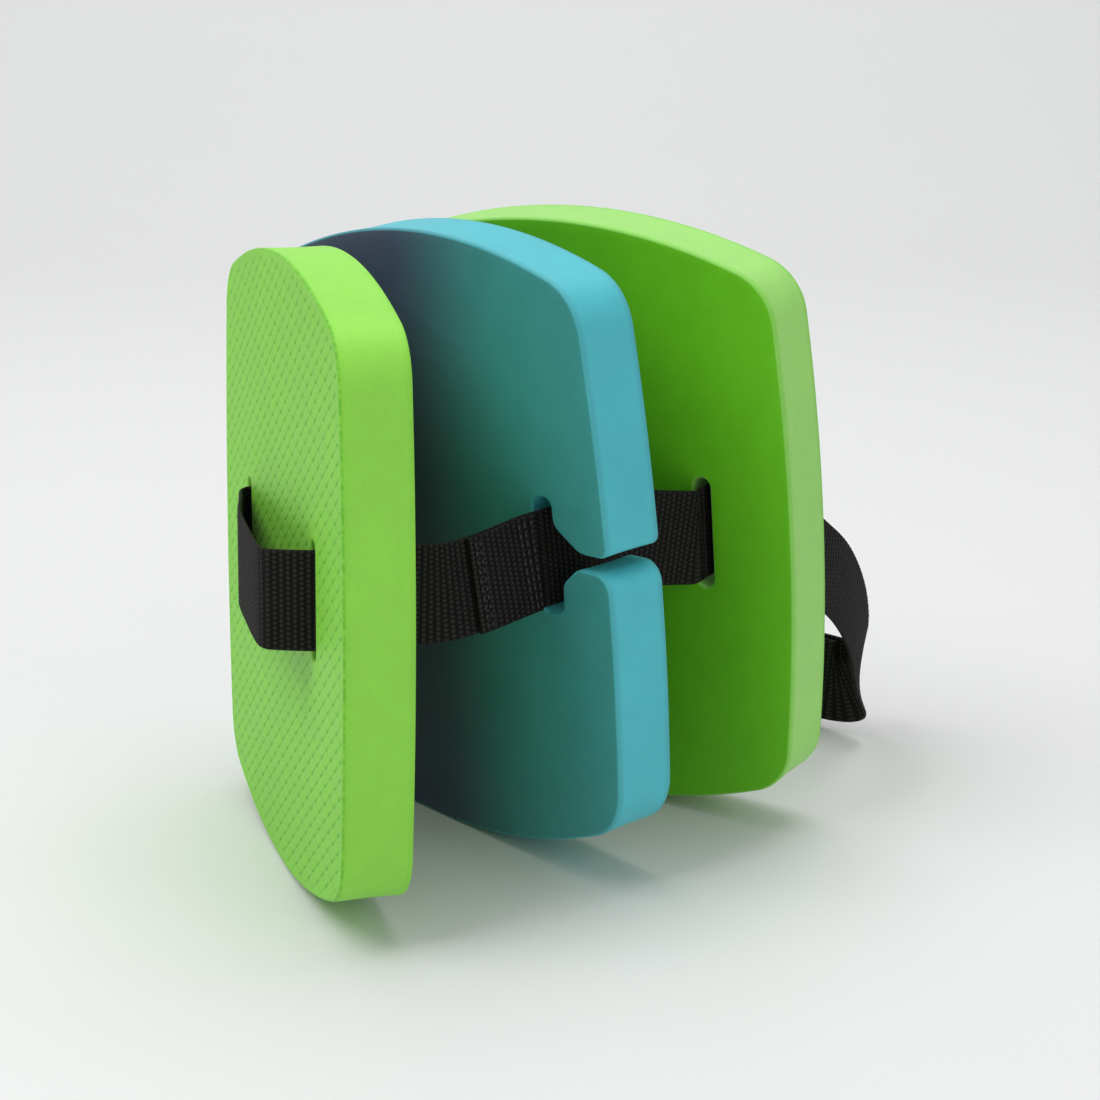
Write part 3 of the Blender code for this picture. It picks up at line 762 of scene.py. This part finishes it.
def near_loop_stations(rear, buckle):
    """Through the rear slab's near slot, round behind it and sewn back on itself at the buckle."""
    inset = FACE - JOIN_GAP / 2
    up = rear.up
    slot = REAR_SLOT_U
    stations = [(rear.at(slot, reach), up) for reach in (-inset, 0.0, inset + 0.001, inset + 0.005)]
    # each row: U, N and height of the strap's middle, then how far its width leans back and inwards
    loose = [
        (0.0680, 0.0300, 0.1160, 0.22, -0.04), (0.0745, 0.0450, 0.1050, 0.60, -0.15),
        (0.0775, 0.0590, 0.0950, 0.84, -0.25), (0.0779, 0.0767, 0.0820, 1.07, -0.30),
        (0.0768, 0.0920, 0.0660, 1.30, -0.40), (0.0742, 0.1035, 0.0490, 1.25, -0.40),
        (0.0705, 0.1095, 0.0345, 0.70, -0.22),
    ]
    for x, n, height, back, inward in loose:
        place = buckle.at(x, n - BUCKLE_N, height - BUCKLE_WIDTH / 2)
        stations.append((place, buckle.across(back, inward)))
    bar = SHELL_LENGTH + FRAME_LENGTH
    side = WEB_BED
    slot_x = bar - BAR - 0.0024
    close = [
        (0.0620, -0.0012), (bar + 0.0035, -side + 0.0010), (bar - 0.0015, -side),
        (slot_x + 0.0006, -side + 0.0008), (slot_x, 0.0), (slot_x + 0.0006, side - 0.0008),
        (bar - 0.0015, side), (bar + 0.0035, side - 0.0010), (0.0620, 0.0012),
    ]
    for x, y in close:
        stations.append((buckle.at(x, y), buckle.across()))
    return stations


def far_loop_stations(rear, buckle):
    """From the straight stretch beside the buckle up to the rear slab's far slot."""
    clear = FACE + JOIN_GAP / 2
    starts = (ADJUSTER_END - JOIN_GAP, ADJUSTER_END - 0.0020, ADJUSTER_END - 0.0038)
    stations = [(buckle.at(x, WEB_BED), buckle.across()) for x in starts]
    # each row: U, N and height of the strap's middle, then how far its width leans back
    loose = [
        (-0.0890, 0.1140, 0.0275, 0.10), (-0.0950, 0.1060, 0.0370, 0.35),
        (-0.0965, 0.0940, 0.0560, 0.75), (-0.0930, 0.0760, 0.0820, 0.80),
        (-0.0810, 0.0520, 0.1100, 0.35), (-0.0700, 0.0300, 0.1200, 0.05),
    ]
    for x, n, height, back in loose:
        place = buckle.at(x, n - BUCKLE_N, height - BUCKLE_WIDTH / 2)
        stations.append((place, buckle.across(back)))
    stations += [(rear.at(-REAR_SLOT_U, clear + way), rear.up) for way in (0.0060, 0.0030, 0.0)]
    return stations


def adjuster_stations(buckle):
    """In from the far side, woven through the two bars and back out as the free end."""
    bed = WEB_BED
    over = WEB_OVER
    outer_slot = -MALE_GAP - MALE_BASE + BAR + LADDER_SLOT / 2
    inner_slot = outer_slot + LADDER_SLOT + BAR
    middle = (outer_slot + inner_slot) / 2
    route = [
        (ADJUSTER_END, bed), (-0.0500, bed), (outer_slot - 0.0060, bed),
        (outer_slot - 0.0016, bed - 0.0004),
        (outer_slot, 0.0), (outer_slot + 0.0014, -bed + 0.0006), (middle, -bed - 0.0002),
        (inner_slot - 0.0014, -bed + 0.0006), (inner_slot, 0.0), (inner_slot - 0.0008, bed - 0.0002),
        (middle, bed + 0.0006), (outer_slot, over - 0.0006), (outer_slot - 0.0040, over + 0.0002),
        (-0.0400, over), (KEEPER_X, over), (ADJUSTER_END + 0.0020, over),
    ]
    return [(buckle.at(x, y), buckle.across()) for x, y in route]


def keeper_route(buckle):
    """Round the belt and its free end, with the seam in the middle of the side next to the belt."""
    middle = KEEPER_WALL / 2
    low = WEB_BED - WEB_THICKNESS / 2 - KEEPER_SLACK - middle
    high = WEB_OVER + WEB_THICKNESS / 2 + KEEPER_SLACK + 0.0002 + middle
    side = WEB_WIDTH / 2 + KEEPER_SLACK + middle
    turn = KEEPER_TURN
    corners = ((low, -side, 180), (high, -side, 270), (high, side, 0), (low, side, 90))
    places = [(low, -0.0002), (low, -0.5 * side)]
    for y, z, start in corners:
        centre = (y + math.copysign(turn, (low + high) / 2 - y), z - math.copysign(turn, z))
        for k in range(5):
            angle = math.radians(start + 22.5 * k)
            places.append((centre[0] + turn * math.cos(angle), centre[1] + turn * math.sin(angle)))
        if y == high and z < 0:
            places += [(high, -0.5 * side), (high, 0.0), (high, 0.5 * side)]
    places += [(low, 0.5 * side), (low, 0.0002)]
    along_belt = Vector(buckle.turn @ Vector((1.0, 0.0, 0.0)))
    return Route([(buckle.at(KEEPER_X, y, z), along_belt) for y, z in places], 2, 0.0004)


class Route:
    """A strap's centre line, sampled finely: centres, directions across and out, and distance along."""

    def __init__(self, stations, steps, spacing):
        path = smooth(stations, steps)
        centre = np.array([tuple(c) for c, _ in path])
        across = np.array([tuple(a) for _, a in path])
        travel = np.concatenate([[0.0], np.cumsum(np.linalg.norm(np.diff(centre, axis=0), axis=1))])
        length = travel[-1]
        count = max(8, int(round(length / spacing)))
        at = np.linspace(0.0, length, count + 1)
        fine = np.stack([self.spline(at, travel, centre[:, i]) for i in range(3)], axis=1)
        self.across = np.stack([self.spline(at, travel, across[:, i]) for i in range(3)], axis=1)
        ahead = np.gradient(fine, axis=0)
        ahead /= np.linalg.norm(ahead, axis=1)[:, None]
        self.across -= ahead * (self.across * ahead).sum(1)[:, None]
        self.across /= np.linalg.norm(self.across, axis=1)[:, None]
        self.out = np.cross(ahead, self.across)
        self.centre = fine
        self.along = at

    @staticmethod
    def spline(at, travel, values):
        """Cubic Hermite interpolation with slopes from neighbouring points."""
        slopes = np.gradient(values, travel)
        k = np.clip(np.searchsorted(travel, at, side="right") - 1, 0, len(travel) - 2)
        span = travel[k + 1] - travel[k]
        t = (at - travel[k]) / span
        return (values[k] * (2 * t ** 3 - 3 * t ** 2 + 1) + slopes[k] * span * (t ** 3 - 2 * t ** 2 + t)
                + values[k + 1] * (3 * t ** 2 - 2 * t ** 3) + slopes[k + 1] * span * (t ** 3 - t ** 2))


def rib_profile(along, v, width):
    """Height of the weave, 0 to 1: ribs across the belt, each a row of knots, and a plain selvedge."""
    rib = np.abs(np.cos(math.pi * along / RIB_PITCH))[:, None] ** 0.8
    shift = 0.5 * (np.round(along / RIB_PITCH) % 2)[:, None]
    knot = np.abs(np.cos(math.pi * (v[None] / KNOT_PITCH + shift))) ** 0.7
    edge = np.clip((width / 2 - np.abs(v)) / SELVEDGE, 0.0, 1.0)[None]
    weave = rib * (0.25 + 0.75 * knot)
    selvedge = 0.40 + 0.45 * np.abs(np.cos(math.pi * along / RIB_PITCH))[:, None]
    return weave * edge + selvedge * (1 - edge)


def belt(name, route, finish, width=WEB_WIDTH, thickness=WEB_THICKNESS, columns=100):
    """Woven webbing along a route: two ribbed sides joined by rounded selvedges."""
    v = np.linspace(-1, 1, columns + 1) * width / 2
    along = route.along
    height = rib_profile(along, v, width)
    back_height = rib_profile(along + RIB_PITCH / 2, v, width)
    core = thickness / 2 - RIB_HEIGHT
    past = np.clip(np.abs(v) - (width / 2 - EDGE_SOFTNESS), 0, None) / EDGE_SOFTNESS
    round_off = np.sqrt(np.clip(1 - past ** 2, 0, 1))
    rows = len(along)
    top = (core + RIB_HEIGHT * height) * round_off[None]
    under = (core + RIB_HEIGHT * back_height) * round_off[None]
    flat = route.centre[:, None, :] + route.across[:, None, :] * v[None, :, None]
    upper = flat + route.out[:, None, :] * top[..., None]
    lower = flat[:, 1:-1] - route.out[:, None, :] * under[:, 1:-1, None]
    points = np.concatenate([upper, lower[:, ::-1]], axis=1)
    around = points.shape[1]
    values = np.concatenate([height, back_height[:, 1:-1][:, ::-1]], axis=1)
    across_v = np.concatenate([v, v[1:-1][::-1]])
    number = np.arange(rows * around).reshape(rows, around)
    nxt = np.roll(number, -1, axis=1)
    quads = np.stack([number[:-1], nxt[:-1], nxt[1:], number[1:]], axis=-1).reshape(-1, 4)
    faces = [tuple(q) for q in quads.tolist()]
    for row in (0, rows - 1):
        for k in range(columns):
            a, b = number[row, k], number[row, k + 1]
            c = number[row, (around - k - 1) % around]
            d = number[row, (around - k) % around]
            unique = list(dict.fromkeys(int(x) for x in (a, b, c, d)))
            if len(unique) > 2:
                faces.append(tuple(unique if row == 0 else unique[::-1]))
    crowns = {"Rib": values.ravel()}
    thing = solid(name, Matrix.Identity(4), points.reshape(-1, 3), faces, finish, crowns)
    layer = thing.data.uv_layers.new(name="belt")
    u_of = np.repeat(along, around)
    v_of = np.tile(across_v, rows)
    index = np.empty(len(thing.data.loops), int)
    thing.data.loops.foreach_get("vertex_index", index)
    uvs = np.stack([u_of[index], v_of[index]], axis=1)
    layer.data.foreach_set("uv", uvs.ravel().astype(np.float32))
    return thing


def stitches(name, seams, finish):
    """Sewing thread along seams. A seam is a list of points, each with its direction out of the cloth.

    The thread shows between every other pair of points."""
    radius = THREAD_RADIUS
    sides = THREAD_SIDES
    form = bmesh.new()
    for seam in seams:
        for (p, out), (q, _) in zip(seam[::2], seam[1::2]):
            span = q - p
            ahead = span.normalized()
            side = ahead.cross(out).normalized()
            rings = []
            for k in range(THREAD_SPANS + 1):
                t = k / THREAD_SPANS
                lift = math.sin(math.pi * t)
                centre = p + span * t + out * (radius * (1.6 * lift - 0.6))
                size = radius * (0.55 + 0.45 * math.sqrt(max(lift, 0.0)))
                rings.append([form.verts.new(centre + (side * math.cos(a) + out * math.sin(a)) * size)
                              for a in [2 * math.pi * m / sides for m in range(sides)]])
            for a, b in zip(rings, rings[1:]):
                for m in range(sides):
                    form.faces.new((a[m], a[(m + 1) % sides], b[(m + 1) % sides], b[m]))
            form.faces.new(rings[0])
            form.faces.new(list(reversed(rings[-1])))
    bmesh.ops.recalc_face_normals(form, faces=form.faces)
    mesh = bpy.data.meshes.new(name)
    form.to_mesh(mesh)
    form.free()
    mesh.materials.append(finish)
    mesh.shade_smooth()
    thing = bpy.data.objects.new(name, mesh)
    bpy.context.scene.collection.objects.link(thing)
    return thing


def cross_seam(route, share, side):
    """Stitch points across the belt at one share of its length, on its +out or -out side."""
    k = int(round(share * (len(route.along) - 1)))
    count = int((WEB_WIDTH - 2 * STITCH_MARGIN) / STITCH_PITCH)
    places = np.linspace(-WEB_WIDTH / 2 + STITCH_MARGIN, WEB_WIDTH / 2 - STITCH_MARGIN, count + 1)
    out = Vector(route.out[k]) * side
    centre = Vector(route.centre[k]) + out * (WEB_THICKNESS / 2)
    across = Vector(route.across[k])
    return [(centre + across * v, out) for v in places]


def outside(route, share, toward):
    """Which side of the belt faces the given direction at one share of its length: 1 or -1."""
    k = int(round(share * (len(route.along) - 1)))
    return 1 if Vector(route.out[k]).dot(toward) > 0 else -1


def offset_route(route, amount, first, last):
    """Part of a route, moved out by amount."""
    result = object.__new__(Route)
    a = int(round(first * (len(route.along) - 1)))
    b = int(round(last * (len(route.along) - 1))) + 1
    result.centre = route.centre[a:b] + route.out[a:b] * amount
    result.across = route.across[a:b]
    result.out = route.out[a:b]
    result.along = route.along[a:b]
    return result


# ---------------------------------------------------------------- stage

def camera():
    data = bpy.data.cameras.new("view")
    data.lens = 88.75
    data.sensor_width = 36.0
    data.shift_y = -0.0909
    thing = bpy.data.objects.new("view", data)
    thing.location = (-0.0030, -1.0650, 0.416)
    thing.rotation_euler = (math.radians(90 - 14.1), 0.0, 0.0)
    bpy.context.scene.collection.objects.link(thing)
    bpy.context.scene.camera = thing


def area_light(name, place, target, size, power):
    data = bpy.data.lights.new(name, "AREA")
    data.size = size
    data.energy = power
    thing = bpy.data.objects.new(name, data)
    thing.location = place
    thing.rotation_euler = (Vector(target) - Vector(place)).to_track_quat("-Z", "Y").to_euler()
    bpy.context.scene.collection.objects.link(thing)


def studio():
    """A pale floor that curves up into a backdrop, and soft light."""
    curve = 0.8
    bends = np.linspace(0.1, math.pi / 2, 16)
    profile = [(-2.5, 0.0), (1.2, 0.0)]
    profile += [(1.2 + curve * math.sin(a), curve - curve * math.cos(a)) for a in bends]
    profile += [(2.0, 3.0)]
    form = bmesh.new()
    rows = [[form.verts.new((x, y, z)) for x in np.linspace(-3.5, 3.5, 5)] for y, z in profile]
    for low, high in zip(rows, rows[1:]):
        for k in range(4):
            form.faces.new((low[k], low[k + 1], high[k + 1], high[k]))
    mesh = bpy.data.meshes.new("floor")
    form.to_mesh(mesh)
    form.free()
    finish, tree, shader = principled("pale floor", (0.775, 0.775, 0.772), 0.60)
    where = tree.nodes.new("ShaderNodeTexCoord").outputs["Object"]
    cloud = noise(tree, where, 1.5, 2.0, 0.5)
    base = mixed(tree, cloud, (0.765, 0.765, 0.762), (0.785, 0.785, 0.782))
    tree.links.new(base, shader.inputs["Base Color"])
    mesh.materials.append(finish)
    mesh.shade_smooth()
    floor = bpy.data.objects.new("floor", mesh)
    bpy.context.scene.collection.objects.link(floor)
    world = bpy.data.worlds.new("studio")
    world.use_nodes = True
    world.node_tree.nodes["Background"].inputs["Color"].default_value = (0.97, 0.985, 1.0, 1.0)
    world.node_tree.nodes["Background"].inputs["Strength"].default_value = 0.48
    bpy.context.scene.world = world
    area_light("key", (-1.1, -0.6, 1.9), (0.0, 0.0, 0.1), 1.2, 19.5)
    area_light("top", (0.1, 0.5, 2.2), (0.0, 0.1, 0.1), 1.8, 21.0)
    area_light("fill", (1.5, -1.6, 1.1), (0.0, 0.0, 0.1), 1.5, 7.5)
    bpy.context.scene.view_settings.view_transform = "Standard"


# ---------------------------------------------------------------- assembly

def settle(piece, body, slot, *nodes):
    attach(piece, body)
    if nodes:
        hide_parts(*nodes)
    return piece


def cross_joint(piece, bodies, ends, slot, *nodes):
    """A stretch of belt between two bodies, from the first end to the last, with its placement baked into
    its mesh and its CAD parts hidden.
    """
    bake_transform(piece)
    if nodes:
        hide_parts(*nodes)
    return piece


def build():
    camera()
    studio()
    # Each foam's last colour is painted shade on its front side towards the fan's spine.
    green = foam("green foam", (0.245, 0.710, 0.036), (0.295, 0.770, 0.070), (0.050, 0.370, 0.003),
                 (0.40, 0.78, 0.14), (0.250, 0.720, 0.034))
    # The rear slab's skin is a darker, more saturated copy of the green: painted shade from the narrow gap
    # it faces.
    green_with_painted_shade = foam("green foam with painted shade", (0.150, 0.620, 0.003), (0.350, 0.750, 0.160),
                      (0.040, 0.340, 0.002), (0.24, 0.68, 0.04), (0.125, 0.570, 0.003))
    blue = foam("blue foam", (0.055, 0.340, 0.370), (0.075, 0.540, 0.620), (0.010, 0.18, 0.26),
                (0.12, 0.48, 0.50), (0.058, 0.075, 0.160))
    # Each webbing's second colour is the painted highlight on its rib crowns.
    black = woven("black webbing", (0.0075, 0.0062, 0.0060), (0.050, 0.044, 0.041),
                  RIB_PITCH, KNOT_PITCH)
    elastic = woven("black elastic", (0.0100, 0.0092, 0.0095), (0.030, 0.028, 0.029), 0.0011, 0.0009)
    plastic = moulded("black acetal", (0.018, 0.018, 0.019))
    sewing = thread("black thread", (0.020, 0.018, 0.018))

    plain = slab_outline()
    keyed = keyhole_slab_outline()
    smaller = [p * FRONT_SIZE for p in plain]
    front = Slab(FRONT_POSE, smaller, "front_float")
    middle = Slab(MIDDLE_POSE, plain, "middle_float")
    rear = Slab(REAR_POSE, plain, "rear_float")
    front_holes = [slot_outline(side * FRONT_SLOT_U) for side in (-1, 1)]
    rear_holes = [slot_outline(side * REAR_SLOT_U) for side in (-1, 1)]
    slabs = (
        ("front", front, smaller, front_holes, green, -1, "green_foam"),
        ("middle", middle, keyed, [], blue, 0, "blue_foam"),
        ("rear", rear, plain, rear_holes, green_with_painted_shade, 1, "green_foam"),
    )
    for number, (body, slab, outline, holes, finish, embossed, slot) in enumerate(slabs):
        seed = FOAM_SEED + number
        piece = foam_slab(body + "_foam", slab, outline, holes, finish, embossed, seed)
        settle(piece, body, slot, body + "_float")

    bridge = Route(bridge_stations(front), ROUTE_STEPS, BELT_STEP)
    settle(belt("bridge_belt", bridge, black), "front", "black_webbing", "bridge_webbing")
    for name, side, lead in (("near", 1, NEAR_LEAD), ("far", -1, LEAD)):
        stations = between(front, side * FRONT_SLOT_U, middle, side * MIDDLE_SLOT_U, lead)
        gap = Route(stations, LAP_STEPS, BELT_STEP)
        ends = (gap.centre[0], gap.centre[-1])
        piece = belt(name + "_front_gap_belt", gap, black)
        cross_joint(piece, ("front", "middle"), ends, "black_webbing", name + "_webbing_front_gap")
        if side > 0:
            lap_route = offset_route(gap, WEB_THICKNESS + 2 * JOIN_GAP, *LAP_SHARES)
            lap = belt("lap_belt", lap_route, black)
            cross_joint(lap, ("front", "middle"), ends, "black_webbing", "webbing_lap")
            seams = [cross_seam(lap_route, share, 1) for share in LAP_SEAMS]
            sewn = stitches("lap_stitching", seams, sewing)
            cross_joint(sewn, ("front", "middle"), ends, "black_webbing")
        slot_route = Route(through_slot(middle, side * MIDDLE_SLOT_U), ROUTE_STEPS, BELT_STEP)
        settle(belt(name + "_middle_slot_belt", slot_route, black), "middle", "black_webbing",
               name + "_webbing_middle_slot")
        stations = between(middle, side * MIDDLE_SLOT_U, rear, side * REAR_SLOT_U)
        gap = Route(stations, GAP_STEPS, BELT_STEP)
        piece = belt(name + "_rear_gap_belt", gap, black)
        cross_joint(piece, ("middle", "rear"), (gap.centre[0], gap.centre[-1]), "black_webbing",
                    name + "_webbing_rear_gap")
    slot_route = Route(through_slot(rear, -REAR_SLOT_U), ROUTE_STEPS, BELT_STEP)
    piece = belt("far_rear_slot_belt", slot_route, black)
    settle(piece, "rear", "black_webbing", "far_webbing_rear_slot")

    buckle = Buckle()
    near_loop = Route(near_loop_stations(rear, buckle), ROUTE_STEPS, BELT_STEP)
    settle(belt("near_waist_belt", near_loop, black), "rear", "black_webbing", "waist_webbing_near")
    far_loop = Route(far_loop_stations(rear, buckle), ROUTE_STEPS, BELT_STEP)
    piece = belt("far_waist_belt", far_loop, black)
    cross_joint(piece, ("adjuster", "rear"), (far_loop.centre[0], far_loop.centre[-1]), "black_webbing",
                "waist_webbing_far")
    adjuster = Route(adjuster_stations(buckle), ROUTE_STEPS, BELT_STEP)
    settle(belt("adjuster_belt", adjuster, black), "adjuster", "black_webbing", "adjuster_webbing")

    outward = buckle.turn @ Vector((0.0, 1.0, 0.0))
    sewn_ends = (
        ("buckle_stitching", near_loop, LOOP_SEAMS, "rear"),
        ("hem_stitching", adjuster, HEM_SEAMS, "adjuster"),
    )
    for name, route, shares, body in sewn_ends:
        seams = [cross_seam(route, share, outside(route, share, outward)) for share in shares]
        settle(stitches(name, seams, sewing), body, "black_webbing")

    for node in ("buckle_female", "buckle_male", "prong_upper", "prong_lower"):
        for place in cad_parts[node].material_slots:
            place.material = plastic
    band = belt("keeper_band", keeper_route(buckle), elastic, KEEPER_LENGTH, KEEPER_WALL, columns=24)
    settle(band, "keeper", "black_elastic", "keeper")


build()
